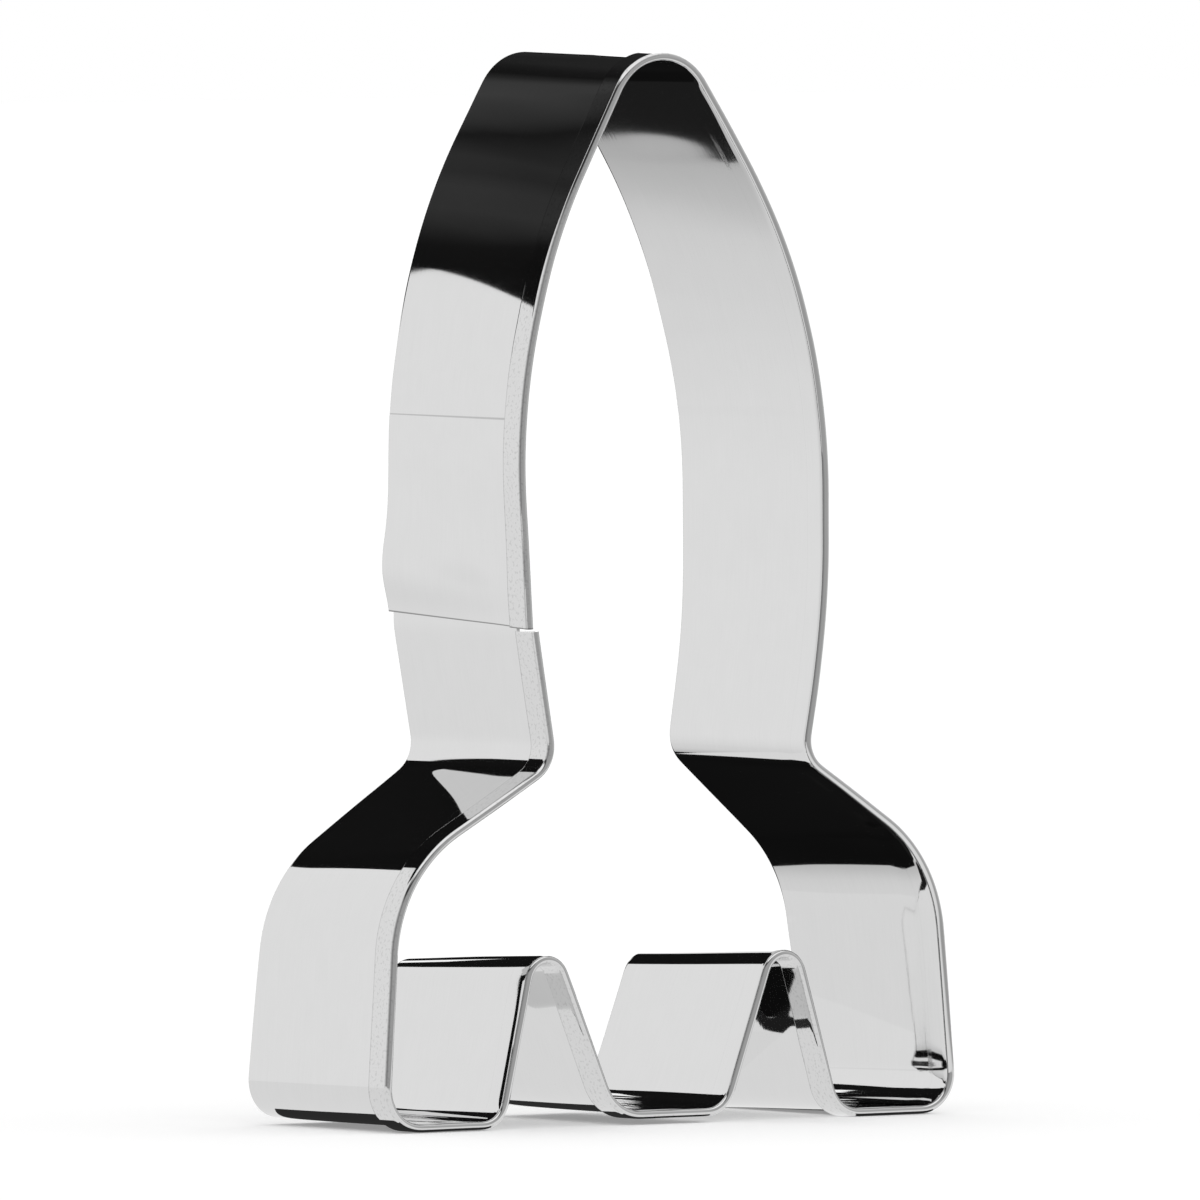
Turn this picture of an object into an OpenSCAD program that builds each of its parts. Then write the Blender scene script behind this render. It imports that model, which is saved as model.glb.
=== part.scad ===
// Rocket cookie cutter: one strip of thin steel standing on its feet, nose up.
// X runs across the rocket, Y from the hemmed rim at the front to the cutting edge, Z up.
// Widths and heights are those of the strip's inner face. The front rim faces -Y.

/* [Strip] */
// Thickness of the sheet
sheet_t = 0.35; // [0.25:0.05:0.45]
// Depth of the finished strip, from the rim to the cutting edge
strip_depth = 22; // [18:0.5:30]
// Width of the hem that is folded outwards along the rim
hem_w = 2.9; // [2:0.1:4]
// Space left inside the pressed hem
hem_gap = 0.1; // [0.05:0.05:0.2]

/* [Nose] */
// Height at which the lines of the two nose sides would cross
tip_z = 103.8; // [98:0.2:108]
// Distance of that crossing from the middle, to the left
tip_off = 1.7; // [0:0.1:3]
// Radius of the nose tip
tip_r = 5.3; // [3:0.1:7]
// Half width where the upper nose bends into the lower nose
nose_half = 13; // [12:0.1:14.5]
// Distance of the nose's middle to the left there, as bent by hand
nose_off = 0.25; // [0:0.05:1]
// Height of that bend
nose_z = 82.7; // [78:0.2:86]
// Radius of that bend
nose_r = 51; // [35:1:52]

/* [Body] */
// Half width where the nose bends into the body
body_half = 17.4; // [16:0.1:19]
// Height of that bend
body_z = 66.6; // [62:0.2:70]
// Radius of that bend
body_r = 57; // [40:1:58]
// Half width of the right side below the body's widest point
flank_half = 17.5; // [17:0.1:19]
// Height of the bend there
flank_z = 46.4; // [44:0.2:50]
// Radius of the bend there
flank_r = 80; // [40:1:82]

/* [Waist] */
// Half width of the waist
waist_half = 14.1; // [12:0.1:15]
// Distance of the waist's middle to the right, as bent by hand
waist_off = 0.9; // [0:0.1:2]
// Height of the waist bends
waist_z = 33.6; // [30:0.2:37]
// Radius of the waist bends
waist_r = 3.5; // [2:0.1:5]

/* [Fins] */
// Half width where the shoulders bend into the fins
shoulder_half = 30.8; // [27:0.1:32]
// Distance of the shoulders' middle to the left, as bent by hand
shoulder_off = 0.4; // [0:0.05:1]
// Height of the shoulder bends
shoulder_z = 23.7; // [22:0.1:26]
// Radius of the shoulder bends
shoulder_r = 13.4; // [6:0.2:14]
// Half width of the fins at the floor
fin_half = 32.5; // [30:0.1:36]
// Radius of the left fin's floor corner
left_corner_r = 3.3; // [2:0.1:4.5]
// Radius of the right fin's floor corner
right_corner_r = 3; // [2:0.1:4.5]

/* [Feet] */
// Inner end of the left foot, from the middle
left_foot_end = 20; // [18:0.1:22]
// Inner end of the right foot, from the middle
right_foot_end = 19.5; // [18:0.1:22]
// Left end of the middle foot, from the middle
mid_foot_left = 6.4; // [5:0.1:8]
// Right end of the middle foot, from the middle
mid_foot_right = 5.9; // [5:0.1:8]
// Height of the middle foot above the outer two
mid_foot_lift = 0.5; // [0:0.1:1.5]
// Radius of the left foot's inner end
left_foot_r = 2.3; // [2:0.1:4]
// Radius of the right foot's inner end
right_foot_r = 3; // [2:0.1:4]
// Radius of the middle foot's left end
mid_left_r = 4.1; // [2:0.1:4.5]
// Radius of the middle foot's right end
mid_right_r = 2.6; // [2:0.1:4.5]

/* [Notches] */
// Distance of the left notch's ridge from the middle
left_ridge_x = 15.3; // [14:0.1:16.5]
// Distance of the right notch's ridge from the middle
right_ridge_x = 13.2; // [12:0.1:15]
// Height at which the left notch's slopes would cross
left_ridge_z = 21.9; // [18:0.1:24]
// Height at which the right notch's slopes would cross
right_ridge_z = 21.5; // [18:0.1:24]
// Radius of both ridges
ridge_r = 2.6; // [2:0.1:3]

/* [Lap] */
// Height at which the two ends of the rim meet
lap_z = 46.2; // [42:0.2:52]
// Half width of the lower end of the strip there
lap_half = 15.4; // [15:0.1:16]
// Height of the top of the tongue, the end that lies inside
tongue_top = 65.8; // [58:0.2:70]
// Space between the two layers
lap_gap = 0.3; // [0.1:0.05:0.4]
// Gap between the two ends of the rim
butt_gap = 0.2; // [0.1:0.05:0.5]
// Rise of the outer end's cut edge from the rim to the cutting edge
cut_rise = 1.05; // [0:0.05:2]
// Distance from the rim to the tongue's front edge, where its hem was cut away
tongue_back = 3.2; // [3:0.1:5]

/* [Spot welds] */
// Diameter of each weld
weld_d = 2; // [1.5:0.1:2.4]
// Distance from the middle of the lap to each row of welds
weld_rise = 6; // [3:0.5:8]
// Distance from the rim to the front welds
weld_front = 8; // [6:0.5:10]
// Distance from the front welds to the back welds
weld_pitch = 8; // [4:0.5:9]

/* [Cutting edge] */
// Shift of the cutting edge from the rim at the lap, to the right and up, as bent by hand
lap_shift = [-0.5, 0]; // [-2:0.05:2]
// The same at the left waist
left_waist_shift = [-0.35, 0]; // [-2:0.05:2]
// At the left shoulder
left_shoulder_shift = [0.5, -1.2]; // [-2:0.05:2]
// At the left fin's floor corner
left_corner_shift = [-0.55, 0]; // [-2:0.05:2]
// At the inner end of the left foot
left_foot_shift = [0.7, 0]; // [-2:0.05:2]
// At the left notch's ridge
left_ridge_shift = [0, -0.55]; // [-2:0.05:2]
// At the left end of the middle foot
mid_left_shift = [-0.65, 0]; // [-2:0.05:2]
// At the right notch's ridge
right_ridge_shift = [0.2, -1]; // [-2:0.05:2]
// At the inner end of the right foot
right_foot_shift = [-0.6, -0.5]; // [-2:0.05:2]
// At the right fin's floor corner
right_corner_shift = [0, -0.5]; // [-2:0.05:2]
// At the right shoulder
right_shoulder_shift = [-1.65, -1.1]; // [-2:0.05:2]
// At the right waist
right_waist_shift = [0.55, 0.3]; // [-2:0.05:2]
// Where the nose bends into the body, on the right
right_body_shift = [-0.15, -0.45]; // [-2:0.05:2]
// Where the upper nose bends into the lower nose, on the right
right_nose_shift = [-0.45, 0.3]; // [-2:0.05:2]
// At the tip
tip_shift = [0.5, 0]; // [-2:0.05:2]
// Where the upper nose bends into the lower nose, on the left
left_nose_shift = [-0.45, 0.8]; // [-2:0.05:2]
// Where the nose bends into the body, on the left
left_body_shift = [0.9, -0.35]; // [-2:0.05:2]

/* [Smoothness] */
// Largest angle between neighbouring facets of a bend
facet_angle = 9; // [4:1:15]
// Longest facet of a wide bend
facet_length = 3; // [2:0.5:5]
// Longest facet of a straight run, which twists where its two edges part
run_length = 5; // [3:0.5:10]
// Facets round the front of the rolled rim
rim_facets = 6; // [4:1:10]

/* [Hidden] */

front = -strip_depth / 2;
back = strip_depth / 2;
rim_t = 2 * sheet_t + hem_gap;
lap_step = sheet_t + lap_gap;
floor_z = rim_t;

// Bends of the inner face, from the lap down the left side and round to the lap:
// x, z and radius at the rim, and the shift of the cutting edge from there
STRAIGHT_BACK = [0, 0];
BENDS = [
    [-lap_half, lap_z, 0, lap_shift],
    [waist_off - waist_half, waist_z, waist_r, left_waist_shift],
    [-shoulder_off - shoulder_half, shoulder_z, shoulder_r, left_shoulder_shift],
    [-fin_half, floor_z, left_corner_r, left_corner_shift],
    [-left_foot_end, floor_z, left_foot_r, left_foot_shift],
    [-left_ridge_x, left_ridge_z, ridge_r, left_ridge_shift],
    [-mid_foot_left, floor_z + mid_foot_lift, mid_left_r, mid_left_shift],
    [mid_foot_right, floor_z + mid_foot_lift, mid_right_r, STRAIGHT_BACK],
    [right_ridge_x, right_ridge_z, ridge_r, right_ridge_shift],
    [right_foot_end, floor_z, right_foot_r, right_foot_shift],
    [fin_half, floor_z, right_corner_r, right_corner_shift],
    [shoulder_half - shoulder_off, shoulder_z, shoulder_r, right_shoulder_shift],
    [waist_half + waist_off, waist_z, waist_r, right_waist_shift],
    [flank_half, flank_z, flank_r, STRAIGHT_BACK],
    [body_half, body_z, body_r, right_body_shift],
    [nose_half - nose_off, nose_z, nose_r, right_nose_shift],
    [-tip_off, tip_z, tip_r, tip_shift],
    [-nose_half - nose_off, nose_z, nose_r, left_nose_shift],
    [-body_half, body_z, body_r, left_body_shift],
    [-lap_half - lap_step, lap_z + butt_gap, 0, lap_shift + [0, cut_rise]]
];
CUT_BENDS = [for (b = BENDS) [b.x + b[3].x, b.y + b[3].y, b[2]]];

function spot(bends, i) = [bends[i].x, bends[i].y];
function along(bends, i) = let (d = spot(bends, i + 1) - spot(bends, i)) d / norm(d);
function run(bends, i) = norm(spot(bends, i + 1) - spot(bends, i));
// Normal that points out of the cutter, for a direction of travel
function outward(u) = [u.y, -u.x];
function turned(u, a) = [u.x * cos(a) - u.y * sin(a), u.x * sin(a) + u.y * cos(a)];
function is_bend(i) = i > 0 && i < len(BENDS) - 1;
function turn(bends, i) =
    let (u = along(bends, i - 1), v = along(bends, i))
    atan2(u.x * v.y - u.y * v.x, u.x * v.x + u.y * v.y);
function reach(bends, i) = is_bend(i) ? bends[i][2] * tan(abs(turn(bends, i)) / 2) : 0;
// A radius is limited by the straight lines that it rounds off
function limited_r(bends, i) =
    let (here = reach(bends, i))
    bends[i][2] * min(1,
        run(bends, i - 1) / (reach(bends, i - 1) + here),
        run(bends, i) / (here + reach(bends, i + 1)));
// The rim decides how many facets a bend has, so that both edges have the same
function facets(i) =
    let (a = abs(turn(BENDS, i)))
    ceil(max(2, a / facet_angle, limited_r(BENDS, i) * a * PI / 180 / facet_length));

// A station is a point of the inner face and its outward normal there
function tangent(bends, i) = is_bend(i) ? limited_r(bends, i) * tan(abs(turn(bends, i)) / 2) : 0;
function bend(bends, i) =
    let (r = limited_r(bends, i), a = turn(bends, i), side = sign(a), n = facets(i), u = along(bends, i - 1),
         start = spot(bends, i) - u * tangent(bends, i), centre = start - outward(u) * r * side)
    [for (k = [0 : n]) let (m = outward(turned(u, a * k / n))) [centre + m * r * side, m]];
function straight(bends, i) = run(bends, i) - tangent(bends, i) - tangent(bends, i + 1);
// A run starts where its first bend ends, and the rim decides its facets too
function straight_run(bends, i) =
    let (u = along(bends, i), start = spot(bends, i) + u * tangent(bends, i),
         n = ceil(straight(BENDS, i) / run_length))
    [for (k = [1 : 1 : n - 1]) [start + u * straight(bends, i) * k / n, outward(u)]];
function edge(bends) =
    let (last = len(bends) - 1)
    concat(
        [[spot(bends, 0), outward(along(bends, 0))]],
        [for (i = [1 : last - 1]) each concat(straight_run(bends, i - 1), bend(bends, i))],
        straight_run(bends, last - 1),
        [[spot(bends, last), outward(along(bends, last - 1))]]);

// Each station of the rim is joined with that of the cutting edge. Where the sheet ends, both have
// the rim's normal, so that the cut face is flat.
RIM_EDGE = edge(BENDS);
CUT_EDGE = edge(CUT_BENDS);
R = len(RIM_EDGE);
function flat_end(s) = [s[0], s[1], s[2], s[1]];
STATIONS = [for (i = [0 : R - 1])
    let (s = concat(RIM_EDGE[i], CUT_EDGE[i]))
    i == 0 || i == R - 1 ? flat_end(s) : s];

// The tongue follows the outer end's left side, one lap step inside it
function on_lap(s) = s[0].x < 0 && s[0].y > lap_z + 1 && s[0].y < tongue_top;
function inside(s) = [s[0] - s[1] * lap_step, s[1], s[2] - s[3] * lap_step, s[3]];
function blend(a, b, t) = a + (b - a) * t;
TOP = [for (i = [floor(R / 2) : R - 2])
    if (STATIONS[i][0].y >= tongue_top && STATIONS[i + 1][0].y < tongue_top) i][0];
TOP_SHARE = (STATIONS[TOP][0].y - tongue_top) / (STATIONS[TOP][0].y - STATIONS[TOP + 1][0].y);
TONGUE = concat(
    [flat_end(inside([for (j = [0 : 3]) blend(STATIONS[TOP][j], STATIONS[TOP + 1][j], TOP_SHARE)]))],
    [for (s = STATIONS) if (on_lap(s)) inside(s)]);

// Section of the hemmed strip as distance out of the inner face and depth, round its outline
HEM = [for (k = [0 : rim_facets]) let (a = 180 * k / rim_facets)
    [rim_t / 2 * (1 - cos(a)), front + rim_t / 2 * (1 - sin(a))]];
SECTION = concat(
    [[0, back], [0, front + tongue_back]],
    HEM,
    [[rim_t, front + hem_w], [rim_t - sheet_t, front + hem_w], [rim_t - sheet_t, front + rim_t / 2]],
    [[rim_t / 2, front + (rim_t - hem_gap) / 2], [sheet_t, front + rim_t / 2]],
    [[sheet_t, front + tongue_back], [sheet_t, back]]);
ROUND = len(SECTION);
PLAIN = [SECTION[0], SECTION[1], SECTION[ROUND - 2], SECTION[ROUND - 1]];

// A point of the section is carried from the rim to the cutting edge by its depth
function unit(v) = v / norm(v);
function at(s, q) =
    let (share = (q.y - front) / strip_depth,
         p = blend(s[0], s[2], share) + unit(blend(s[1], s[3], share)) * q.x)
    [p.x, q.y, p.y];

// The part is moved so that its box stands centred on the origin
EDGES = [for (s = STATIONS) for (q = SECTION) at(s, q)];
LEFT = min([for (p = EDGES) p.x]);
RIGHT = max([for (p = EDGES) p.x]);
BOTTOM = min([for (p = EDGES) p.z]);

module placed() {
    translate([-(LEFT + RIGHT) / 2, 0, -BOTTOM])
        children();
}

// Corner number of point j of the section at station i, the tongue's stations first
T = len(TONGUE);
function plain_corner(i, j) = 4 * i + j;
function hem_corner(i, j) = 4 * T + ROUND * i + j;
PLAIN_IN_HEM = [0, 1, ROUND - 2, ROUND - 1];
function tongue_corner(i, j) = i < T ? plain_corner(i, j) : hem_corner(0, PLAIN_IN_HEM[j]);

// A side of the sheet between two stations is twisted, so it is two triangles. Both faces of the sheet
// are split from the front of one station to the back of the next, which keeps the sheet's thickness.
function twisted(a, b, c, d, from, to) =
    to.y > from.y ? [[a, b, c], [a, c, d]] : [[a, b, d], [b, c, d]];

module strip() {
    corners = concat(
        [for (s = TONGUE) for (q = PLAIN) at(s, q)],
        [for (s = STATIONS) for (q = SECTION) at(s, q)]);
    sides = concat(
        [for (i = [0 : T - 1]) for (j = [0 : 3]) let (k = (j + 1) % 4) each twisted(
            tongue_corner(i, j), tongue_corner(i + 1, j), tongue_corner(i + 1, k), tongue_corner(i, k),
            PLAIN[j], PLAIN[k])],
        [for (i = [0 : R - 2]) for (j = [0 : ROUND - 1]) let (k = (j + 1) % ROUND) each twisted(
            hem_corner(i, j), hem_corner(i + 1, j), hem_corner(i + 1, k), hem_corner(i, k),
            SECTION[j], SECTION[k])]);
    ends = [
        [for (j = [0 : 3]) plain_corner(0, j)],
        [for (j = [1 : ROUND - 2]) hem_corner(0, j)],
        [for (j = [ROUND - 1 : -1 : 0]) hem_corner(R - 1, j)]
    ];
    color("silver")
        placed()
            polyhedron(corners, concat(sides, ends));
}

// A weld fills the space between the layers, midway along one facet of the tongue
INNER_LAYER = concat(TONGUE, [STATIONS[0]]);
module weld(height, depth) {
    i = [for (k = [0 : T - 1])
        if (INNER_LAYER[k][0].y >= height && INNER_LAYER[k + 1][0].y < height) k][0];
    function facet_side(k, y) = at(INNER_LAYER[k], [sheet_t, y]);
    function facet_middle(y) = (facet_side(i, y) + facet_side(i + 1, y)) / 2;
    up = unit(facet_side(i, depth) - facet_side(i + 1, depth));
    deep = unit(facet_middle(depth + weld_d) - facet_middle(depth - weld_d));
    out = unit(cross(up, deep));
    middle = facet_middle(depth);
    multmatrix([for (k = [0 : 2]) [up[k], deep[k], out[k], middle[k]]])
        cylinder(h = lap_gap, d = weld_d, $fn = 24);
}

module spot_welds() {
    color("gray")
        placed()
            for (side = [-1, 1])
                for (step = [0, 1])
                    weld((lap_z + tongue_top) / 2 + side * weld_rise, front + weld_front + step * weld_pitch);
}

strip();
spot_welds();
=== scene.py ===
# %% [markdown]
# # A rocket cookie cutter in polished steel
#
# The cutter is one strip of thin stainless steel that stands on edge and is bent to a rocket's outline.
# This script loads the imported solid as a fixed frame, and dresses it: a finer strip with a rolled hem,
# a lapped joint and the small faults of a hand-bent object, a polished finish, and a plain studio.

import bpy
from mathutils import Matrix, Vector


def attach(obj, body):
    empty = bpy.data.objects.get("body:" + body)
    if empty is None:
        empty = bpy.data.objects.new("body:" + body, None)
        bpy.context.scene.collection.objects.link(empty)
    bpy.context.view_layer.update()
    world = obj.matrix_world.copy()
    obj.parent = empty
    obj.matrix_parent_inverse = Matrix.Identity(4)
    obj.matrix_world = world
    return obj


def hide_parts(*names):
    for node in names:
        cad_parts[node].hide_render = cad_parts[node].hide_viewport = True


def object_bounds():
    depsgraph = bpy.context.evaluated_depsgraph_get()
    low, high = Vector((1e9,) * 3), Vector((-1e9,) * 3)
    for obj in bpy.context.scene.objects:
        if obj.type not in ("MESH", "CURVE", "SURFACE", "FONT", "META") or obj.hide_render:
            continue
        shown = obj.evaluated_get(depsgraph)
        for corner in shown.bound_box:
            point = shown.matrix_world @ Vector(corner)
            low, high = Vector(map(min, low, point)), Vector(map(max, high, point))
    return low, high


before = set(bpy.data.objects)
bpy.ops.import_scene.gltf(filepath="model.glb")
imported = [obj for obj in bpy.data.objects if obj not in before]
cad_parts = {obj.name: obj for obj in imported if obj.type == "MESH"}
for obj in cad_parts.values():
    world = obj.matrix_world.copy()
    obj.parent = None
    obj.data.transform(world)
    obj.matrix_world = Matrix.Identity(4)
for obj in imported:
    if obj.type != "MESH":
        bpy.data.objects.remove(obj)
cad_low, cad_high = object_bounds()
print("CAD box, mm:", [round(1000 * (high - low), 2) for low, high in zip(cad_low, cad_high)])

# %% [markdown]
# ## The camera
#
# The photograph was taken from far away with a long lens, because edges that run in depth look
# parallel. So the camera stands three metres off, to the left of the rim and a little above the middle.
# An orthographic camera would come close, but a long lens keeps the slight perspective.

# %% Place the camera
import math

import bpy
import numpy as np
from mathutils import Vector

MM = 0.001
scene = bpy.context.scene
scene.view_settings.view_transform = "Standard"

# How far the camera stands to the left of straight in front, and above the horizon
CAMERA_TURN = math.radians(36.5)
CAMERA_RISE = math.radians(2)
# In metres
CAMERA_DISTANCE = 3.0
# The place in the middle of the picture
LOOKED_AT = Vector((-0.3465, 0, 48.54)) * MM
SENSOR_WIDTH = 36
PIXELS_WIDE = 1200
PIXELS_PER_MM = 10.7076
# How far the camera sees, in metres
SIGHT_END = 50

towards_camera = Vector((
    -math.sin(CAMERA_TURN) * math.cos(CAMERA_RISE),
    -math.cos(CAMERA_TURN) * math.cos(CAMERA_RISE),
    math.sin(CAMERA_RISE)))
camera_data = bpy.data.cameras.new("camera")
camera_data.sensor_width = SENSOR_WIDTH
camera_data.sensor_fit = "HORIZONTAL"
camera_data.lens = SENSOR_WIDTH * CAMERA_DISTANCE / MM * PIXELS_PER_MM / PIXELS_WIDE
camera_data.clip_end = SIGHT_END
camera = bpy.data.objects.new("camera", camera_data)
camera.location = LOOKED_AT + towards_camera * CAMERA_DISTANCE
camera.rotation_euler = (-towards_camera).to_track_quat("-Z", "Y").to_euler()
scene.collection.objects.link(camera)
scene.camera = camera
print("lens, mm:", round(camera_data.lens, 1))

# %% [markdown]
# ## The line that the strip follows
#
# A maker bends the strip over pegs, so its line is straight runs and round bends.
# Each bend is written as the place where the two straight runs would cross, and a radius.
# They are the same bends as in the solid, because the dressed strip has to lie where the solid lies.
# A curve object could hold them too, but plain numbers keep the true radius of each bend.
# Lengths are in millimetres. The rim and the cutting edge have a line each, since the strip is twisted a
# little, so a point of the line has four numbers: x and z at the rim, and x and z at the cutting edge.

# %% The bends
SHEET = 0.35
DEPTH = 22
HEM_WIDTH = 2.9
RIM_THICKNESS = 0.8
# From the outer layer of the lap to the tongue inside it
LAP_STEP = 0.65
TONGUE_TOP = 65.8
# How far behind the rim the tongue's front edge lies, since its hem is cut away
TONGUE_BACK = 3.2
FRONT = -DEPTH / 2
# How far the drawn line moves right and up, to stand in the middle of the box and on the floor
CENTRING = 0.073
LIFT = 0.0659

# x and z of the crossing at the rim, the radius, and how far right and up the cutting edge
# stands from there, in millimetres, from the lap down and round to the lap
BENDS = [
    (-15.4, 46.2, 0, -0.5, 0), (-13.2, 33.6, 3.5, -0.35, 0), (-31.2, 23.7, 13.4, 0.5, -1.2),
    (-32.5, 0.8, 3.3, -0.55, 0), (-20, 0.8, 2.3, 0.7, 0), (-15.3, 21.9, 2.6, 0, -0.55),
    (-6.4, 1.3, 4.1, -0.65, 0), (5.9, 1.3, 2.6, 0, 0), (13.2, 21.5, 2.6, 0.2, -1),
    (19.5, 0.8, 3, -0.6, -0.5), (32.5, 0.8, 3, 0, -0.5), (30.4, 23.7, 13.4, -1.65, -1.1),
    (15, 33.6, 3.5, 0.55, 0.3), (17.5, 46.4, 80, 0, 0), (17.4, 66.6, 57, -0.15, -0.45),
    (12.75, 82.7, 51, -0.45, 0.3), (-1.7, 103.8, 5.3, 0.5, 0), (-13.25, 82.7, 51, -0.45, 0.8),
    (-17.4, 66.6, 57, 0.9, -0.35), (-16.05, 46.4, 0, -0.5, 1.05)]
# Distance between the points of the line
FINE = 0.05
print("bends:", len(BENDS) - 2, "between the two ends of the strip")

# %% Round them off
def turn_at(before, here, after):
    """Directions of the runs into and out of a bend, and the angle between them."""
    inward, onward = here[:2] - before[:2], after[:2] - here[:2]
    inward, onward = inward / np.linalg.norm(inward), onward / np.linalg.norm(onward)
    return inward, math.atan2(inward[0] * onward[1] - inward[1] * onward[0], inward @ onward)


def rounded(bends, counts):
    """Points along the bends, each corner rounded off in this many steps."""
    points = [bends[0][:2]]
    for before, here, after, count in zip(bends, bends[1:], bends[2:], counts):
        inward, turn = turn_at(before, here, after)
        side = math.copysign(1, turn)
        start = here[:2] - inward * here[2] * math.tan(abs(turn) / 2)
        centre = start + side * here[2] * np.array((-inward[1], inward[0]))
        spoke = start - centre
        for k in range(count + 1):
            c, s = math.cos(turn * k / count), math.sin(turn * k / count)
            points.append(centre + (c * spoke[0] - s * spoke[1], s * spoke[0] + c * spoke[1]))
    points.append(bends[-1][:2])
    return np.array(points)


def spaced(lines, step):
    """Both lines again, with points at even distances along the first."""
    apart = np.linalg.norm(np.diff(lines[:, :2], axis=0), axis=1)
    lengths = np.concatenate([[0], np.cumsum(apart)])
    places = np.linspace(0, lengths[-1], round(lengths[-1] / step) + 1)
    return np.stack([np.interp(places, lengths, column) for column in lines.T], axis=1)


def outward_normals(lines):
    """Directions across both lines, pointing out of the cutter."""
    along = np.gradient(lines, axis=0).reshape(-1, 2, 2)
    along /= np.linalg.norm(along, axis=2)[:, :, None]
    return np.stack([along[:, :, 1], -along[:, :, 0]], axis=2).reshape(-1, 4)


bends = np.array(BENDS)
rim_bends = bends[:, :3]
cut_bends = rim_bends + np.pad(bends[:, 3:], ((0, 0), (0, 1)))
counts = [
    max(2, math.ceil(here[2] * abs(turn_at(before, here, after)[1]) / FINE))
    for before, here, after in zip(rim_bends, rim_bends[1:], rim_bends[2:])]
outline = np.concatenate([rounded(rim_bends, counts), rounded(cut_bends, counts)], axis=1)
outline = spaced(outline, FINE)
print("the strip's line, mm:", round(FINE * (len(outline) - 1), 1))

# %% [markdown]
# ## The tongue, and softer bends
#
# The lower end of the strip goes on upwards inside the upper end, so that the two can be welded.
# It lies one sheet and one gap inside the outer layer, so its line is that layer's line, moved inwards.
# Steel doesn't go from straight to curved all at once, so the whole line is smoothed a little.
# A bevel or a subdivision surface would soften the bends too, but by how much depends on the mesh.

# %% Join the tongue and smooth the line
SMOOTHING = 0.35
# The tongue's line starts this far above the place where the two rims meet
TONGUE_RISE = 1


def smoothed(lines, width):
    """Both lines averaged over a bell of this width, with their ends kept."""
    reach = round(4 * width / FINE)
    bell = np.exp(-0.5 * (np.arange(-reach, reach + 1) * FINE / width) ** 2)
    bell /= bell.sum()
    ahead = 2 * lines[0] - lines[reach:0:-1]
    behind = 2 * lines[-1] - lines[-2:-reach - 2:-1]
    padded = np.concatenate([ahead, lines, behind])
    return np.stack([np.convolve(column, bell, "valid") for column in padded.T], axis=1)


normals = outward_normals(outline)
outer_end = (np.arange(len(outline)) > len(outline) / 2) & (outline[:, 0] < 0)
under = outer_end & (outline[:, 1] < TONGUE_TOP) & (outline[:, 1] > BENDS[0][1] + TONGUE_RISE)
tongue = outline[under] - LAP_STEP * normals[under]
HEM_START = FINE * (len(spaced(np.concatenate([tongue, outline[:1]]), FINE)) - 1)
line = smoothed(spaced(np.concatenate([tongue, outline]), FINE), SMOOTHING)
line_normals = outward_normals(line)
LINE_LENGTH = FINE * (len(line) - 1)
print("the tongue, mm:", round(HEM_START, 1), " tongue and strip, mm:", round(LINE_LENGTH, 1))

# %% [markdown]
# ## Where the rings of the mesh go
#
# A mirror finish shows every facet, so the tight bends need close rings, and flat runs need few.
# Each ring costs a share of its distance and a share of its turn, and the rings are spread evenly by cost.
# Rings at even distances would be simpler, but there would be three times as many.

# %% Choose the rings
# The distance that costs one ring, the turn that costs one ring, and the close pair at a cut end
RING_GAP = 0.55
RING_TURN = math.radians(2.5)
END_GAP = 0.12

line_places = np.arange(len(line)) * FINE
headings = np.unwrap(np.arctan2(line_normals[:, 1], line_normals[:, 0]))
cost = np.concatenate([[0], np.cumsum(FINE / RING_GAP + np.abs(np.diff(headings)) / RING_TURN)])


def rings_between(start, end):
    """Distances along the line from start to end, with a close pair at each end."""
    low, high = np.interp([start + END_GAP, end - END_GAP], line_places, cost)
    inner = np.interp(np.linspace(low, high, math.ceil(high - low) + 1), cost, line_places)
    return np.concatenate([[start], inner, [end]])


tongue_rings = rings_between(0, HEM_START)[:-1]
hem_rings = rings_between(HEM_START, LINE_LENGTH)
rings = np.concatenate([tongue_rings, hem_rings])
print("rings:", len(tongue_rings), "on the tongue,", len(hem_rings), "on the hemmed strip")

# %% [markdown]
# ## The strip's section
#
# The near edge of the sheet is folded outwards on itself, which gives a blunt rim to press on.
# Close to the fold the wall leans out a little, because the press bends more than the fold alone.
# The section is drawn once as pairs of points, one on each face of the sheet, from the cutting edge
# to the hem's free edge. A curve's own round bevel would be shorter to write, but can't hold an open hem.

# %% Draw the section
# The radius of the sheet's cut edges
EDGE_ROUND = 0.06
# How far the wall leans out at the fold, and how far behind the rim the lean starts
ROLL = 0.03
ROLL_START = 0.95
ROLL_STEPS = 8
# The sheet is a little thinner where it is folded
FOLD_SHEET = 0.31
FOLD_STEPS = 14
# Distances behind the rim of the points on the wall and on the hem
WALL_PLACES = (
    DEPTH - EDGE_ROUND, DEPTH - 0.2, 21, 19.5, 18, 16.5, 15, 13.5, 12, 10.5, 9, 7.5, 6, 4.6,
    TONGUE_BACK, 2.5)
HEM_PLACES = (0.7, 1.2, 1.8, 2.4, HEM_WIDTH - 0.15, HEM_WIDTH - EDGE_ROUND)


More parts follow.
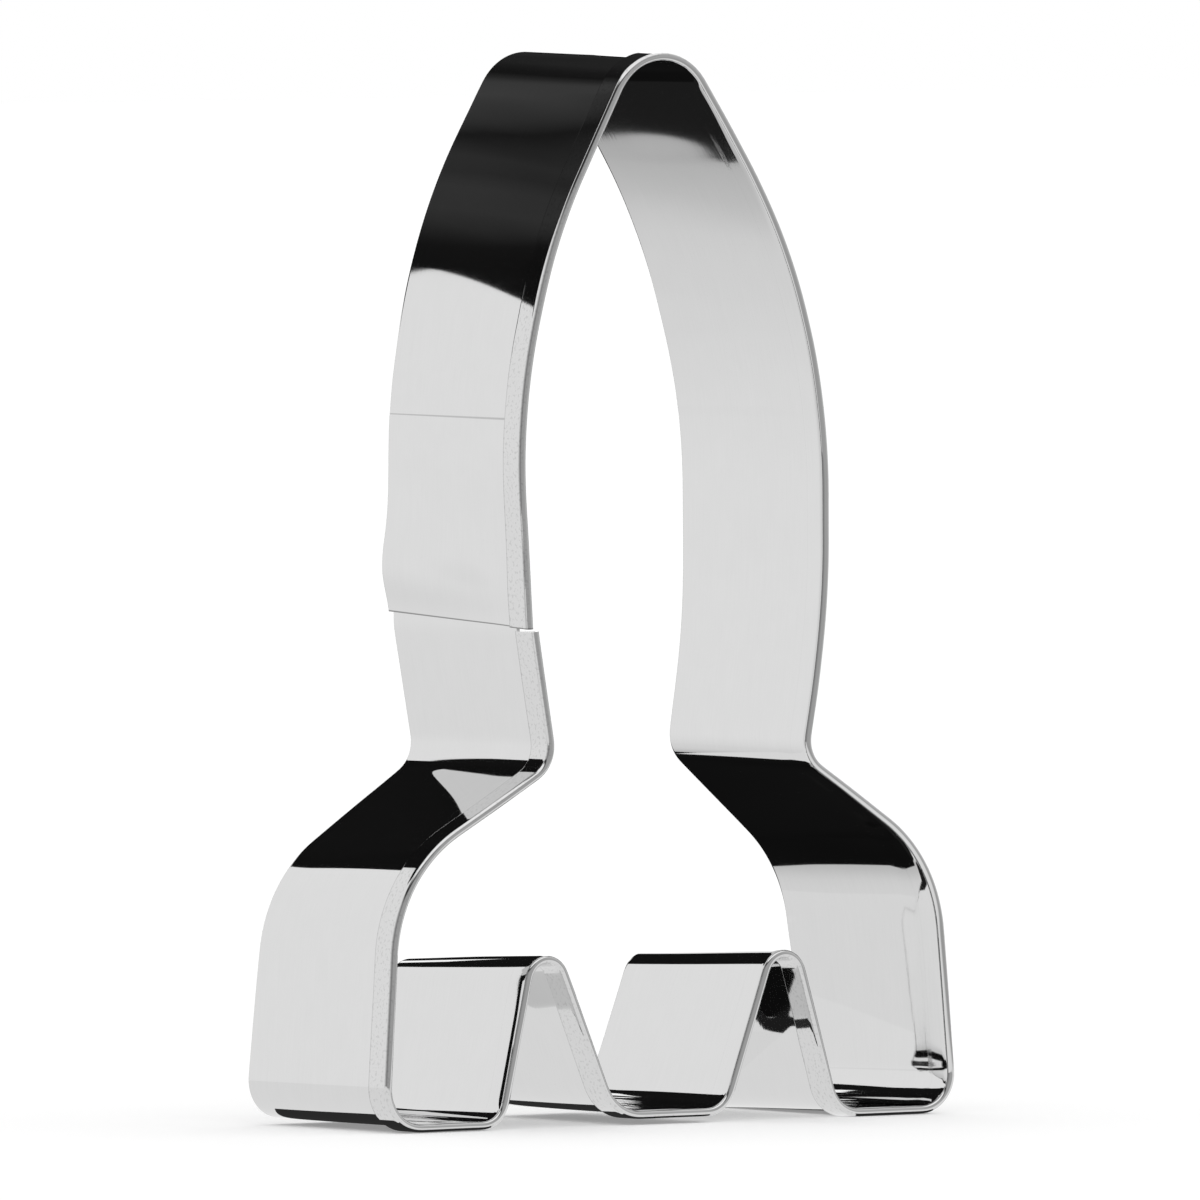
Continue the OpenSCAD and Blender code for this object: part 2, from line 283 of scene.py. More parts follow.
def section_pairs():
    """Pairs of points (out of the wall, distance behind the rim), inner face first."""
    lean = 2 * ROLL / ROLL_START
    slope = math.atan(lean)
    fold = (RIM_THICKNESS - ROLL) / (1 + math.cos(slope))
    start = fold * (1 - math.sin(slope))
    pairs = []
    for back in WALL_PLACES:
        pairs.append(((0, back), (SHEET, back)))
    for share in np.linspace(0, 1, ROLL_STEPS):
        back = ROLL_START + (start - ROLL_START) * share
        out = ROLL * share ** 2
        pairs.append(((out, back), (out + SHEET + (FOLD_SHEET - SHEET) * share, back)))
    for k in range(1, FOLD_STEPS + 1):
        way = slope + (math.pi - slope) * k / FOLD_STEPS
        c, s = math.cos(way), math.sin(way)
        centre = (ROLL + fold * math.cos(slope), start + fold * math.sin(slope))
        radii = (fold, fold - FOLD_SHEET)
        pairs.append(tuple((centre[0] - radius * c, centre[1] - radius * s) for radius in radii))
    hem_in = RIM_THICKNESS - FOLD_SHEET
    for back in HEM_PLACES:
        pairs.append(((RIM_THICKNESS, back), (hem_in, back)))
    return pairs


pairs = section_pairs()
plain_pairs = 1 + [inner[1] for inner, outer in pairs].index(TONGUE_BACK)
print("pairs of points:", len(pairs), "of which", plain_pairs, "on the plain part")

# %% Close it round the cut edges
EDGE_STEPS = 3


def rounded_edge(inner, outer):
    """The points round a cut edge of the sheet, from its inner to its outer face."""
    points = []
    across = math.copysign(1, outer[0] - inner[0])
    for corner, turn in ((inner, 1), (outer, -1)):
        arc = []
        for k in range(1, EDGE_STEPS + 1):
            a = math.radians(90 * k / EDGE_STEPS)
            arc.append((
                corner[0] + turn * across * EDGE_ROUND * (1 - math.cos(a)),
                corner[1] + EDGE_ROUND * math.sin(a)))
        points += arc if turn == 1 else arc[::-1]
    return points


cutting_edge = rounded_edge(*pairs[0])
hem_edge = rounded_edge(*pairs[-1][::-1])
section = (
    [inner for inner, outer in reversed(pairs[:plain_pairs])] + cutting_edge
    + [outer for inner, outer in pairs] + hem_edge
    + [inner for inner, outer in reversed(pairs[plain_pairs:])])
section = np.array(section)
# The first points are the plain part, which the tongue has too
PLAIN = 2 * plain_pairs + len(cutting_edge)
print("points round the section:", len(section), "of which", PLAIN, "on the plain part")

# %% [markdown]
# ## Small faults of a bent sheet
#
# Real sheet is never quite flat, and polished steel shows it: reflections of straight edges wander.
# A few long, shallow waves give that. At its lower end the outer layer of the lap bulges, then turns in,
# and where the tongue ends underneath, a faint line shows through. Sculpting could give all this too,
# but sums over the flat strip can be read and changed.

# %% Waves, bulge and the line that shows through
WAVES = [
    # length along the strip, length across it, height, phase: millimetres and radians
    (23.0, 60.0, 0.020, 0.4),
    (11.0, -31.0, 0.006, 2.1),
    (37.0, 25.0, 0.018, 4.0),
    (6.3, 40.0, 0.0016, 1.2)]
BOWS = [
    # x and z of the middle of a straight run, how far it bows outwards, and half its length
    (5.6, 92.6, 0.05, 4.2)]
# The bulge: its height, its distance from the strip's end, half its length,
# and how far behind the rim it is full
BULGE = 0.72
BULGE_PLACE = 3.3
BULGE_REACH = 2.9
BULGE_FULL = 20
# The tuck at the strip's end: its depth, its length, and how far behind the rim it starts and is full
TUCK = 0.25
TUCK_LENGTH = 3.2
TUCK_START = 1.5
TUCK_FULL = 6
# The tongue under the outer layer: how far it lifts the layer, over what distance the lift fades out
# at its top and at its front edge, and how far from the strip's end the lift is full
SHOW_THROUGH = 0.03
SHOW_TOP = 0.18
SHOW_FRONT = 0.4
SHOW_FULL = 8
print("waves:", len(WAVES), " bows:", len(BOWS))

# %% Add them up
def smooth_step(low, high, values):
    """0 below low, 1 above high, and a smooth rise between them."""
    share = np.clip((values - low) / (high - low), 0, 1)
    return share * share * (3 - 2 * share)


def offset(place, back, height):
    """How far the sheet lies out of its plain line, in millimetres."""
    out = 0
    for along, across, tall, phase in WAVES:
        out = out + tall * np.sin(2 * math.pi * (place / along + back / across) + phase)
    for x, z, tall, reach in BOWS:
        middle = FINE * np.argmin(np.hypot(line[:, 0] - x, line[:, 1] - z))
        out = out + tall * np.exp(-((place - middle) / reach) ** 2)
    from_end = LINE_LENGTH - place
    hill = np.exp(-((from_end - BULGE_PLACE) / BULGE_REACH) ** 2)
    bulge = BULGE * hill * smooth_step(0, BULGE_FULL, back)
    tuck = TUCK * (1 - smooth_step(0, TUCK_LENGTH, from_end)) * smooth_step(TUCK_START, TUCK_FULL, back)
    upper = place > LINE_LENGTH / 2
    behind_front = smooth_step(TONGUE_BACK - SHOW_FRONT, TONGUE_BACK, back)
    over = smooth_step(0, SHOW_TOP, TONGUE_TOP - height) * behind_front
    return out + (bulge - tuck) + SHOW_THROUGH * over * upper * smooth_step(0, SHOW_FULL, from_end)


bulge_out = offset(LINE_LENGTH - BULGE_PLACE, DEPTH, BENDS[-1][1])
print("how far the bulge stands out at the cutting edge, mm:", round(float(bulge_out), 2))

# %% [markdown]
# ## Sweep the section along the line
#
# Every ring is the section laid across the line. It leans from the rim's line to the cutting edge's
# line, as in the solid, because hand bending leaves the two a little apart. Then neighbouring rings are
# joined by four-sided faces, and the three cut ends are closed. A curve with a bevel object sweeps a
# section too, but keeps the same section all the way, and the tongue has no hem.

# %% Place the points
def placed(place, out, back):
    """Points in the frame, in millimetres, for arrays of places on the flat strip."""
    share = np.stack([1 - back / DEPTH, back / DEPTH])

    def leaning(lines, axis):
        """One coordinate between the rim's line and the cutting edge's line."""
        edges = [np.interp(place, line_places, lines[:, 2 * edge + axis]) for edge in (0, 1)]
        return share[0] * edges[0] + share[1] * edges[1]

    spot, normal = [[leaning(lines, axis) for axis in (0, 1)] for lines in (line, line_normals)]
    out = (out + offset(place, back, spot[1])) / np.hypot(normal[0], normal[1])
    x, z = [spot[axis] + normal[axis] * out + move for axis, move in ((0, CENTRING), (1, LIFT))]
    return np.stack([x, FRONT + back, z], axis=-1)


ring_places, section_out = np.meshgrid(rings, section[:, 0], indexing="ij")
section_back = np.meshgrid(rings, section[:, 1], indexing="ij")[1]
corners = placed(ring_places, section_out, section_back) * MM
corners = np.clip(corners, np.array(cad_low), np.array(cad_high))
lowest, highest = [(reach / MM).round(2) for reach in (corners.min((0, 1)), corners.max((0, 1)))]
print("lowest and highest x, y, z, mm:", lowest, highest)

# %% Join them into one closed mesh
ROUND = len(section)
TONGUE_COUNT = len(tongue_rings)


def corner(ring, point):
    """Number of a point in the mesh: the tongue's rings hold only the plain part."""
    if ring < TONGUE_COUNT:
        return ring * PLAIN + point
    return TONGUE_COUNT * PLAIN + (ring - TONGUE_COUNT) * ROUND + point % ROUND


def closed_by_pairs(points):
    """Four-sided faces between the two ends of a list, working inwards."""
    return [(points[k], points[k + 1], points[-2 - k], points[-1 - k]) for k in range(len(points) // 2 - 1)]


points = np.concatenate([
    corners[:TONGUE_COUNT, :PLAIN].reshape(-1, 3),
    corners[TONGUE_COUNT:].reshape(-1, 3)])
faces = []
for ring in range(len(rings) - 1):
    count = PLAIN if ring < TONGUE_COUNT else ROUND
    for point in range(count):
        after = (point + 1) % count
        faces.append((
            corner(ring, point), corner(ring + 1, point), corner(ring + 1, after), corner(ring, after)))

middle = plain_pairs + len(cutting_edge) // 2
tongue_end = [corner(0, point % PLAIN) for point in range(middle, middle + PLAIN)]
hem_end = [corner(TONGUE_COUNT, point) for point in range(PLAIN - 1, ROUND + 1)]
strip_end = [corner(len(rings) - 1, point) for point in range(middle, middle + ROUND)]
faces += [face[::-1] for face in closed_by_pairs(tongue_end)]
faces += [face[::-1] for face in closed_by_pairs(hem_end)]
faces += closed_by_pairs(strip_end)

strip_mesh = bpy.data.meshes.new("hemmed_strip")
strip_mesh.from_pydata(points.tolist(), [], faces)
strip_mesh.validate()
strip = bpy.data.objects.new("hemmed_strip", strip_mesh)
scene.collection.objects.link(strip)
print("faces:", len(strip_mesh.polygons))

# %% [markdown]
# ## Where a point lies on the flat strip
#
# A rolling mill leaves its marks along the sheet before it is bent, so the finish needs to know
# how far along and how far across the sheet each point lies. Both are kept as a UV map, in millimetres.
# Unwrapping would make one too, but would cut and scale it as it likes.

# %% Unroll the strip
# Edges that turn by more than this stay sharp
SHARP = math.radians(40)

section_places = np.concatenate([[0], np.cumsum(np.linalg.norm(np.diff(section, axis=0), axis=1))])
unrolled = np.stack(np.meshgrid(rings, section_places, indexing="ij"), axis=-1)
by_corner = np.concatenate([
    unrolled[:TONGUE_COUNT, :PLAIN].reshape(-1, 2),
    unrolled[TONGUE_COUNT:].reshape(-1, 2)])
loops = np.zeros(len(strip_mesh.loops), int)
strip_mesh.loops.foreach_get("vertex_index", loops)
uv_map = strip_mesh.uv_layers.new(name="unrolled")
uv_map.data.foreach_set("uv", by_corner[loops].ravel())
strip_mesh.shade_smooth()
strip_mesh.set_sharp_from_angle(angle=SHARP)
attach(strip, "root")
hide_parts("strip")
print("unrolled, mm:", by_corner.max(axis=0).round(1))

# %% [markdown]
# ## Writing a finish as sums
#
# A shader is a tree of nodes, and its maths is easier to read as sums. A small class wraps a socket,
# so that an expression such as 1 - mask adds the Math node that it needs. Every other node comes from
# one method that takes the node's type, its settings and what goes into its sockets.

# %% A socket for sums
class Value:
    """A socket that can be used in sums."""

    def __init__(self, shader, socket):
        self.shader, self.socket = shader, socket

    def maths(self, operation, first, second):
        """A Math node between two values."""
        return self.shader.node("ShaderNodeMath", {"operation": operation}, {0: first, 1: second})

    def __add__(self, other):
        return self.maths("ADD", self, other)

    def __sub__(self, other):
        return self.maths("SUBTRACT", self, other)

    def __mul__(self, other):
        return self.maths("MULTIPLY", self, other)

    def __rsub__(self, other):
        return self.maths("SUBTRACT", other, self)

    __radd__ = __add__
    __rmul__ = __mul__


# %% A tree of nodes
class Shader:
    """The node tree of a material or of the world."""

    def __init__(self, owner):
        owner.use_nodes = True
        self.tree = owner.node_tree
        self.tree.nodes.clear()

    def node(self, kind, settings=None, sockets=None, output=0):
        """Add a node, with its settings first and then its sockets, and wrap one of its outputs."""
        made = self.tree.nodes.new(kind)
        for name, setting in (settings or {}).items():
            if name == "stops":
                elements = made.color_ramp.elements
                for element, (position, colour) in zip(elements, (setting[0], setting[-1])):
                    element.position, element.color = position, colour
                for position, colour in setting[1:-1]:
                    elements.new(position).color = colour
            else:
                setattr(made, name, setting)
        for name, value in (sockets or {}).items():
            if isinstance(value, Value):
                self.tree.links.new(value.socket, made.inputs[name])
            else:
                made.inputs[name].default_value = value
        return Value(self, made.outputs[output]) if made.outputs else made


def grey(level):
    """A neutral colour of this brightness."""
    return (level, level, level, 1)


# %% [markdown]
# ## Polished steel
#
# The sheet is polished stainless steel: a mirror with a faint grey of its own. Fine scratches run along
# the strip, and a faint mottling lies under them. The hem was scuffed by the folding tool, so it is a
# shade duller, with specks, and its free edge is a fine dark line. At the strip's end a thin dark line is
# painted shadow of the lap's end, and over the tongue's end a faint dark line is painted shade of the
# crease there. Images could carry such marks, but sums over the unrolled strip stay sharp however close
# the camera comes.

# %% How polished it is, where its marks are, and where shade is painted
# The steel's grey, and how much the grain and the mottling add to it at most
STEEL_GREY = 0.675
GRAIN = 0.03
MOTTLE = 0.02
GRAIN_STRETCH = (0.12, 3.0, 1)
# How rough the steel is at least, and how much rougher its grain is
ROUGH = 0.025
ROUGH_GRAIN = 0.02
# The painted shadow of the lap's end, a dark line at the strip's end: its width, and how much it darkens
END_SHADOW_WIDTH = 0.08
END_SHADOW_DARK = 0.6
# The painted shade of the crease over the tongue's end: its place along the strip, its width, and how much
# it darkens
CREASE_SHADE_PLACE = FINE * np.flatnonzero(line[:, 1] > TONGUE_TOP)[-1]
CREASE_SHADE_WIDTH = 0.13
CREASE_SHADE_DARK = 0.3
# Where the hem's outer side starts, at its free edge, and ends, at the fold, across the unrolled strip
HEM_ACROSS = section_places[PLAIN + len(pairs) - plain_pairs + len(hem_edge)]
HEM_END = HEM_ACROSS + HEM_WIDTH
# How much darker the scuffed hem is
HEM_DARK = 0.03
# The dark line at the hem's free edge: half its width, and how much it darkens
HEM_LINE = 0.05
HEM_LINE_DARK = 0.22
# How much a speck darkens, and the noise above which there is one
SPECK_DARK = 0.14
SPECK_FROM = 0.66
print("hem on the unrolled strip, mm:", round(HEM_ACROSS, 2), "to", round(HEM_END, 2))

# %% The polished finish
def between(shader, value, low, high, soft):
    """1 between two values and 0 outside, with soft ends."""
    rise, fall = [
        shader.node("ShaderNodeMapRange", {}, {"Value": value, "From Min": start, "From Max": start + soft})
        for start in (low - soft, high)]
    return rise * (1 - fall)


def polished_steel():
    """The strip's mirror finish, with its grain, its marks, and painted shade at the lap's end and over the
    tongue's end.
    """
    material = bpy.data.materials.new("polished_steel")
    shader = Shader(material)
    flat = shader.node("ShaderNodeUVMap", {"uv_map": "unrolled"})
    stretched = shader.node("ShaderNodeVectorMath", {"operation": "MULTIPLY"}, {0: flat, 1: GRAIN_STRETCH})
    grain = shader.node("ShaderNodeTexNoise", {}, {"Vector": stretched, "Scale": 1.6, "Detail": 5})
    mottle = shader.node("ShaderNodeTexNoise", {}, {"Vector": flat, "Scale": 0.35, "Detail": 3})
    along, over = [shader.node("ShaderNodeSeparateXYZ", {}, {0: flat}, axis) for axis in "XY"]
    # Painted shadow of the lap's end: a thin dark line at the strip's end
    end_shadow = between(shader, along, LINE_LENGTH - END_SHADOW_WIDTH, LINE_LENGTH + 1, 0.05)
    sheet_side = between(shader, over, 0, HEM_ACROSS - 0.5, 0.3)
    # Painted shade of the crease over the tongue's end: a faint dark line on the sheet's plain side
    crease_shade = between(shader, along, CREASE_SHADE_PLACE - CREASE_SHADE_WIDTH / 2, CREASE_SHADE_PLACE + CREASE_SHADE_WIDTH / 2, 0.08) * sheet_side
    dots = shader.node("ShaderNodeTexNoise", {}, {"Vector": flat, "Scale": 3.2, "Detail": 2})
    hem = between(shader, over, HEM_ACROSS, HEM_END, 0.1)
    specks = (HEM_DARK + SPECK_DARK * between(shader, dots, SPECK_FROM, 2, 0.12)) * hem
    hem_line = HEM_LINE_DARK * between(shader, over, HEM_ACROSS - HEM_LINE, HEM_ACROSS + HEM_LINE, 0.06)
    marks_and_painted_shade = 1 - END_SHADOW_DARK * end_shadow - CREASE_SHADE_DARK * crease_shade - specks - hem_line
    brightness = (STEEL_GREY + GRAIN * grain + MOTTLE * mottle) * marks_and_painted_shade
    colour = shader.node("ShaderNodeCombineColor", {}, {0: brightness, 1: brightness, 2: brightness})
    roughness = ROUGH + ROUGH_GRAIN * grain
    relief = shader.node("ShaderNodeBump", {}, {"Strength": 0.05, "Distance": 0.00001, "Height": grain})
    surface = shader.node("ShaderNodeBsdfPrincipled", {}, {
        "Base Color": colour, "Metallic": 1.0, "Roughness": roughness, "Normal": relief})
    shader.node("ShaderNodeOutputMaterial", {}, {"Surface": surface})
    return material


strip_mesh.materials.append(polished_steel())
print("nodes in the polished finish:", len(strip_mesh.materials[0].node_tree.nodes))

# %% [markdown]
# ## The welds
#
# A spot weld is a small disc of steel that melted and froze between the two layers. It is hidden,
# apart from a dull edge that could be seen by looking into the lap, so it keeps the solid's shape.

# %% The weld's finish
def weld_steel():
    """Dull steel, tinted by the heat of the weld."""
    material = bpy.data.materials.new("weld_steel")
    shader = Shader(material)
    place = shader.node("ShaderNodeTexCoord", {}, {}, "Object")
    scale = shader.node("ShaderNodeTexNoise", {}, {"Vector": place, "Scale": 4000, "Detail": 4})
    tint = shader.node("ShaderNodeValToRGB", {"stops": [
        (0.35, (0.22, 0.17, 0.13, 1)), (0.65, (0.55, 0.55, 0.56, 1))]}, {0: scale})
    relief = shader.node("ShaderNodeBump", {}, {"Strength": 0.4, "Distance": 0.00005, "Height": scale})
    surface = shader.node("ShaderNodeBsdfPrincipled", {}, {
        "Base Color": tint, "Metallic": 1.0, "Roughness": 0.3 + 0.25 * scale, "Normal": relief})
    shader.node("ShaderNodeOutputMaterial", {}, {"Surface": surface})
    return material


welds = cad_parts["spot_welds"]
welds.data.materials.clear()
welds.data.materials.append(weld_steel())
print("welds dressed:", welds.name)

# %% [markdown]
# ## The studio's far walls
#
# Polished steel shows its surroundings more than itself, so the surroundings are built as the steel
# needs them. What stands far away depends only on the direction in which the steel looks, so the world
# shader paints it: grey and white walls round about and a light from above. Below the horizon behind
# the cutter there is a window of light towards the left, and black from there to the right.
# A picture of a studio round the world could do the same, but a few levels at known angles are easier
# to set. Only the steel sees this pattern. The camera and all other rays get plain soft light.

# %% Rays, ramps and angles
# The brightest level that a ramp can hold
BRIGHTEST = 1.4


def white_for_the_lens(shader):
    """1 for the rays that see the background: from the camera, off metal and through glass."""
    kinds = ("Is Camera Ray", "Is Glossy Ray", "Is Transmission Ray")
    rays = [shader.node("ShaderNodeLightPath", {}, {}, kind) for kind in kinds]
    return shader.node("ShaderNodeMath", {"operation": "MINIMUM"}, {0: rays[0] + rays[1] + rays[2], 1: 1.0})


def ramp(shader, value, stops):
    """Levels of grey at given values, and straight lines between them."""
    low, high = stops[0][0], stops[-1][0]
    places = [((at - low) / (high - low), grey(level / BRIGHTEST)) for at, level in stops]
    share = (value - low) * (1 / (high - low))
    return BRIGHTEST * shader.node("ShaderNodeValToRGB", {"stops": places}, {0: share})


def angle(shader, across, along):
    """How far something is turned from along towards across, in degrees from -180 to 180."""
    turn = shader.node("ShaderNodeMath", {"operation": "ARCTAN2"}, {0: across, 1: along})
    return turn * (180 / math.pi)


# %% Levels of the walls and the window
# The plain light on everything but the steel
AMBIENT = 0.95
ROUND_ABOUT = [
    # compass angle: 0 behind the cutter, 90 to its right, 180 in front; brightness there
    (-180, 0.45), (-150, 0.45), (-130, 0.38), (-110, 0.28), (-100, 0.25), (-95, 0.32), (-85, 0.45),
    (-75, 0.55), (-60, 0.62), (-50, 0.8), (-42, 1), (28, 1), (34, 1.3), (42, 1.35), (68, 1.35),
    (82, 0.95), (98, 0.65), (110, 0.65), (130, 0.55), (150, 0.45), (180, 0.45)]
# The light from above, and the heights between which it takes over from the walls
TOP_LIGHT = 1.15
TOP_FROM = 48.0
TOP_TO = 58.0
# A dark ring high on the left walls: its level by height, and how much of it shows by compass angle
DARK_RING = [(-90, 1), (34, 1), (42, 0.1), (44, 0.1), (54, 1), (90, 1)]
DARK_RING_SHARE = [(-180, 1), (-56, 1), (-44, 0), (180, 0)]
# How far back a direction points, from 0 to 1, where the window and the black start and are whole
BEHIND_FROM = 0.45
BEHIND_TO = 0.6
WINDOW = [
    # angle as seen from the front: 0 to the right, -90 down, -180 to the left; brightness there
    (-180, 1), (-172, 0.99), (-160, 0.965), (-149, 0.93), (-142, 0.89), (-134, 0.87), (-129, 0.84),
    (-126, 0.8), (-123, 0.75), (-120, 0.7), (-116.5, 0.66), (-113, 0.62), (-112, 0.57)]
# Where the window ends and the black starts, and where the black ends, as such angles
WINDOW_EDGE = -111.75
DARK_END = -15
DARK = 0.015
# Beyond the lowest such angle
LOWEST_TURN = -190
print("levels:", len(ROUND_ABOUT), "round about,", len(WINDOW), "through the window")

# %% Paint the world
def seen_by_steel(shader):
    """How bright the far surroundings are in each direction."""
    place = shader.node("ShaderNodeTexCoord", {}, {}, "Generated")
    x, y, z = [shader.node("ShaderNodeSeparateXYZ", {}, {0: place}, axis) for axis in "XYZ"]
    compass = angle(shader, x, y)
    height = shader.node("ShaderNodeMath", {"operation": "ARCSINE"}, {0: z}) * (180 / math.pi)
    above = shader.node("ShaderNodeMapRange", {"interpolation_type": "SMOOTHSTEP"}, {
        "Value": height, "From Min": TOP_FROM, "From Max": TOP_TO})
    ring = 1 - ramp(shader, compass, DARK_RING_SHARE) * (1 - ramp(shader, height, DARK_RING))
    level = ramp(shader, compass, ROUND_ABOUT) * ring * (1 - above) + TOP_LIGHT * above
    behind = shader.node("ShaderNodeMapRange", {"interpolation_type": "SMOOTHSTEP"}, {
        "Value": y, "From Min": BEHIND_FROM, "From Max": BEHIND_TO})
    turn = angle(shader, z, x)
    dark = between(shader, turn, WINDOW_EDGE, DARK_END, 0.1)
    window = ramp(shader, turn, WINDOW) * (1 - dark) + DARK * dark
    below = between(shader, turn, LOWEST_TURN, DARK_END, 1)
    return level * (1 - behind * below * (1 - window))


def studio_world():
    """The walls for the steel, and plain soft light for all else."""
    world = bpy.data.worlds.new("studio")
    scene.world = world
    shader = Shader(world)
    mirror = shader.node("ShaderNodeLightPath", {}, {}, "Is Glossy Ray")
    plain = AMBIENT + (1 - AMBIENT) * white_for_the_lens(shader)
    strength = plain * (1 - mirror) + seen_by_steel(shader) * mirror
    light = shader.node("ShaderNodeBackground", {}, {"Color": grey(1), "Strength": strength})
    shader.node("ShaderNodeOutputWorld", {}, {"Surface": light})


studio_world()
print("nodes in the world:", len(scene.world.node_tree.nodes))

# %% [markdown]
# ## The floor
#
# The cutter stands on pale paper that takes its soft shadow. Lit by this studio the paper would look
# light grey, and a little glow for the lens brings it up to white. More light would do that too, but
# then colours would look brighter than they are written. The steel doesn't see this floor, because a
# card stands in for it.

# %% Lay the paper
FLOOR_COLOUR = 0.82
# Glow for the camera alone, which keeps the paper white close to the cutter, where it gets less light
NEAR_GLOW = 0.04
# From the middle to the floor's edges, in millimetres
FLOOR_REACH = 4000


def paper():
    """White background paper: a pale surface with a soft shadow, white to the lens where it is lit."""
    material = bpy.data.materials.new("background_paper")
    shader = Shader(material)
    matt = shader.node("ShaderNodeBsdfDiffuse", {}, {"Color": grey(FLOOR_COLOUR)})
    seen = shader.node("ShaderNodeLightPath", {}, {}, "Is Camera Ray")
    missing = (1 - AMBIENT * FLOOR_COLOUR) * white_for_the_lens(shader) + NEAR_GLOW * seen
    glow = shader.node("ShaderNodeEmission", {}, {"Color": grey(1), "Strength": missing})
    both = shader.node("ShaderNodeAddShader", {}, {0: matt, 1: glow})
    shader.node("ShaderNodeOutputMaterial", {}, {"Surface": both})
    return material


def stage_object(name, points, faces, material):
    """Part of the studio, from corners in millimetres."""
    mesh = bpy.data.meshes.new(name)
    mesh.from_pydata([tuple(value * MM for value in point) for point in points], [], faces)
    mesh.materials.append(material)
    made = bpy.data.objects.new(name, mesh)
    scene.collection.objects.link(made)
    return made


sides = [(-1, -1), (1, -1), (1, 1), (-1, 1)]
floor_corners = [(x * FLOOR_REACH, y * FLOOR_REACH, 0) for x, y in sides]
floor = stage_object("floor", floor_corners, [(0, 1, 2, 3)], paper())
floor.visible_glossy = False
print("floor:", 2 * FLOOR_REACH, "mm wide")

# %% [markdown]
# ## Near shapes that only the steel sees
#
# A studio photographer puts black cloth and cards close to polished metal, to draw its dark and light
# areas. A black screen behind the cutter blackens the nose, the left shoulder and the ridges, and a
# black cloth below the floor's level the right shoulder. A white card puts bright streaks into the
# feet's dark bands. A pale card lies where the floor is, because the floor itself is in shadow between
# the feet, and small black shapes on it darken the feet and the right notch; those under the feet are
# painted contact shadow. Each is a flat polygon that glows with its own level, so that it looks the same
# whatever the light. Real cloth that is lit by lamps could do this too, but its level would have to be
# found by trial.

# %% Black cloth
CLOTH_BLACK = 0.007
# Heights between which the cloth starts to catch light
CLOTH_LIT_FROM = 114.0
CLOTH_LIT_TO = 128.0
# How far the painted shading of the folds shifts the levels
FOLD_SHADING_SHIFT = 9
CLOTH_LEVELS = [
    # x and z added up, in millimetres; brightness there, where some light falls on the cloth high up
    (40, 0.006), (52, 0.01), (60, 0.03), (68, 0.045), (80, 0.045), (88, 0.032), (96, 0.038), (101, 0.026),
    (105, 0.014), (108, 0.04), (112, 0.066), (120, 0.06), (134, 0.03), (150, 0.012), (190, 0.02)]


def glowing(shader, level):
    """End a material with a glow of this level, which can vary over the surface."""
    shade = shader.node("ShaderNodeCombineColor", {}, {0: level, 1: level, 2: level})
    light = shader.node("ShaderNodeEmission", {}, {"Color": shade, "Strength": 1.0})
    shader.node("ShaderNodeOutputMaterial", {}, {"Surface": light})


def black_cloth(name):
    """Black cloth with painted shading of folds, greyer where some light falls on it high up, as the steel
    sees it.
    """
    material = bpy.data.materials.new(name)
    shader = Shader(material)
    place = shader.node("ShaderNodeTexCoord", {}, {}, "Object")
    # Painted shading of folds: noise that shifts and scales the cloth's glow
    fold_shading = shader.node("ShaderNodeTexNoise", {}, {"Vector": place, "Scale": 22, "Detail": 2})
    x, z = [shader.node("ShaderNodeSeparateXYZ", {}, {0: place}, axis) * (1 / MM) for axis in "XZ"]
    lit = shader.node("ShaderNodeMapRange", {}, {
        "Value": z, "From Min": CLOTH_LIT_FROM, "From Max": CLOTH_LIT_TO})
    light = ramp(shader, x + z + FOLD_SHADING_SHIFT * fold_shading - FOLD_SHADING_SHIFT / 2, CLOTH_LEVELS)
    glowing(shader, (CLOTH_BLACK * (1 - lit) + lit * light) * (0.5 + fold_shading))
    return material


print("levels on the cloth:", len(CLOTH_LEVELS))

# %% Cards
# Levels of the pale card by how far back they are, in millimetres: it gets darker towards the camera
FLOOR_LEVELS = [(-110, 0.43), (-60, 0.93)]


def plain_card(name, level):
    """Card of one brightness, as the steel sees it."""
    material = bpy.data.materials.new(name)
    glowing(Shader(material), level)
    return material


def floor_card():
    """The floor as the steel sees it: white paper, and a grey card further away in front."""
    material = bpy.data.materials.new("floor_card")
    shader = Shader(material)
    place = shader.node("ShaderNodeTexCoord", {}, {}, "Object")
    away = shader.node("ShaderNodeSeparateXYZ", {}, {0: place}, "Y")
    glowing(shader, ramp(shader, away * (1 / MM), FLOOR_LEVELS))
    return material


print("levels on the pale card:", len(FLOOR_LEVELS))

# %% Put them up
def flag(name, points, material):
    """A flat shape that only reflections see."""
    made = stage_object(name, points, [tuple(range(len(points)))], material)
    made.visible_camera = False
    made.visible_diffuse = False
    made.visible_shadow = False
    return made


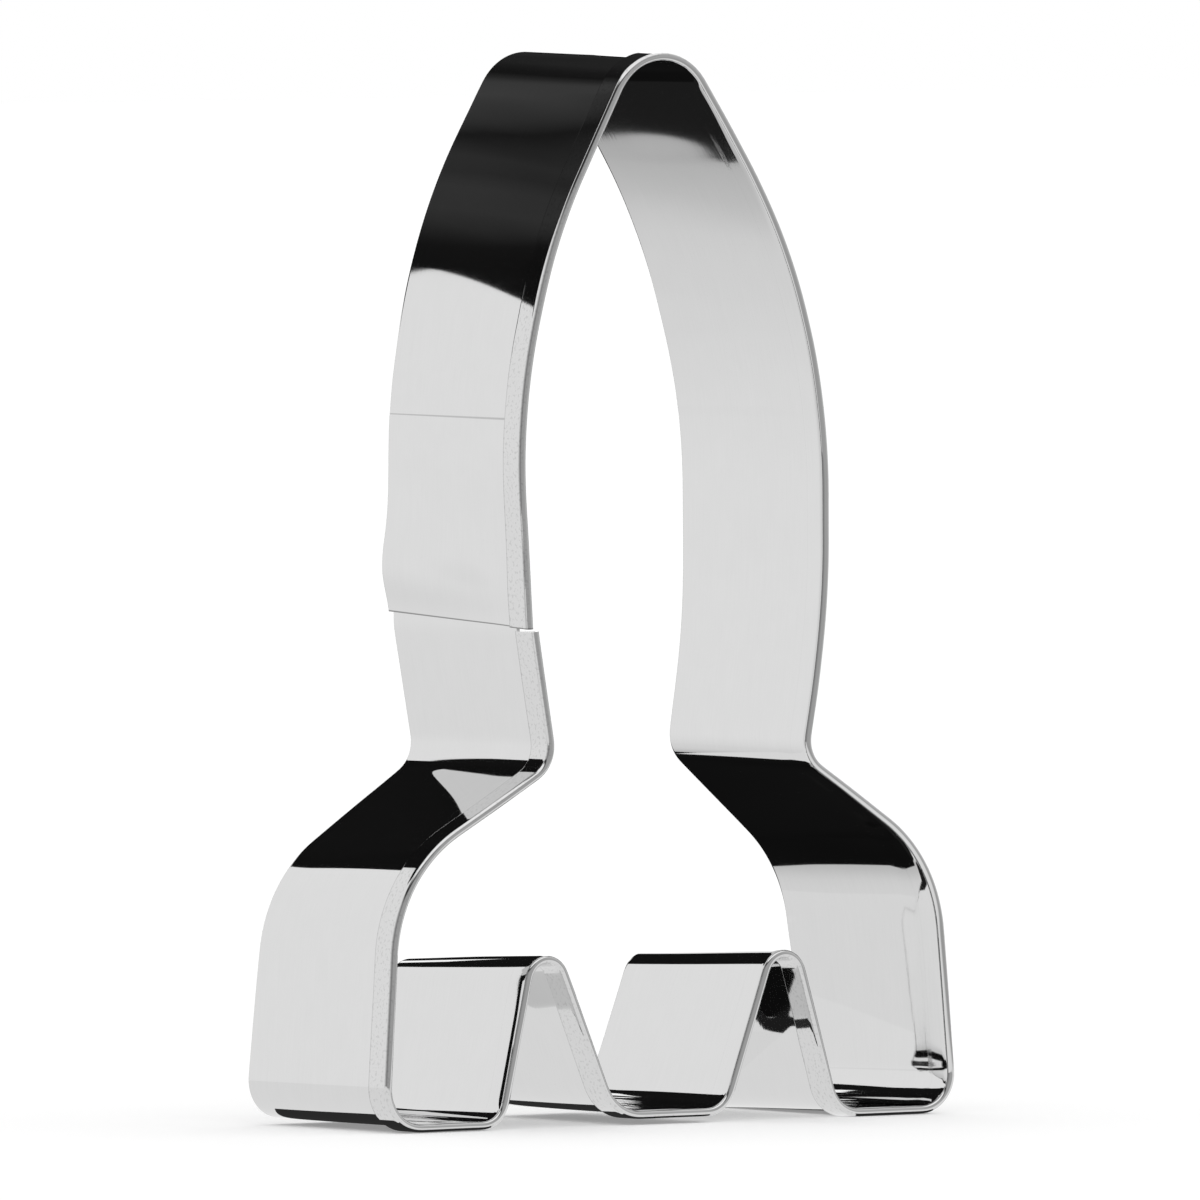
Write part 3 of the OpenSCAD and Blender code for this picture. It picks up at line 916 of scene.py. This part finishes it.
# The screen behind the cutter: x and z of its corners
SCREEN_AWAY = 100
SCREEN = [
    (-90, 112), (-86, 110), (-73, 114), (-69, 90), (-45, 97), (-38, 83), (-20, 74), (-8, 69),
    (-14, 50), (-13, 35), (-11, 0), (-11, -70), (58, -70), (58, 0), (60, 38), (60, 84), (73, 92),
    (73, 190), (-90, 190)]
# The white card just in front of the screen: x and z of its corners
WHITE_CARD = [(15, 52), (30, 52), (30, 70), (15, 70)]
WHITE_CARD_AWAY = SCREEN_AWAY - 1
WHITE_CARD_LEVEL = 1.25
# The cloth below the floor's level: x and y of its corners
LOW_CLOTH = [(1, 60), (-6, 95), (30, 95), (30, 60)]
LOW_CLOTH_HEIGHT = -40
# The pale card, with its back right part left open, and the black shape at the open part's edge
FLOOR_CARD = [(-400, -400), (400, -400), (400, 10.5), (5.8, 10.5), (5.8, 60), (-400, 60)]
FLOOR_CARD_HEIGHT = -0.02
DARK_SPOT = [(1.5, 10.5), (6.1, 10.5), (5.8, 12.5), (5.4, 14.2), (3.7, 17.3), (3, 19), (1.5, 19)]
# The painted contact shadows under the feet, black shapes: their left and right ends, and their front and
# back
FOOT_SHADOW_SPANS = [(-31.7, -20.5), (-5.5, 5), (21.5, 31)]
FOOT_SHADOW_FRONT = -11.3
FOOT_SHADOW_BACK = 10.5
FOOT_SHADOW_LEVEL = 0.03

white_card = plain_card("white_card", WHITE_CARD_LEVEL)
flags = [
    flag("black_screen", [(x, SCREEN_AWAY, z) for x, z in SCREEN], black_cloth("black_screen")),
    flag("white_card", [(x, WHITE_CARD_AWAY, z) for x, z in WHITE_CARD], white_card),
    flag("low_cloth", [(x, y, LOW_CLOTH_HEIGHT) for x, y in LOW_CLOTH], black_cloth("low_cloth")),
    flag("floor_card", [(x, y, FLOOR_CARD_HEIGHT) for x, y in FLOOR_CARD], floor_card()),
    flag("dark_spot", [(x, y, 0) for x, y in DARK_SPOT], plain_card("dark_spot", DARK))]
# Painted contact shadow: a black shape under each foot, which the steel sees in the floor
for number, (left, right) in enumerate(FOOT_SHADOW_SPANS, 1):
    name = "foot_shadow_" + str(number)
    foot = [(left, FOOT_SHADOW_FRONT, 0), (right, FOOT_SHADOW_FRONT, 0), (right, FOOT_SHADOW_BACK, 0), (left, FOOT_SHADOW_BACK, 0)]
    flags.append(flag(name, foot, plain_card(name, FOOT_SHADOW_LEVEL)))
print("shapes that only the steel sees:", len(flags))
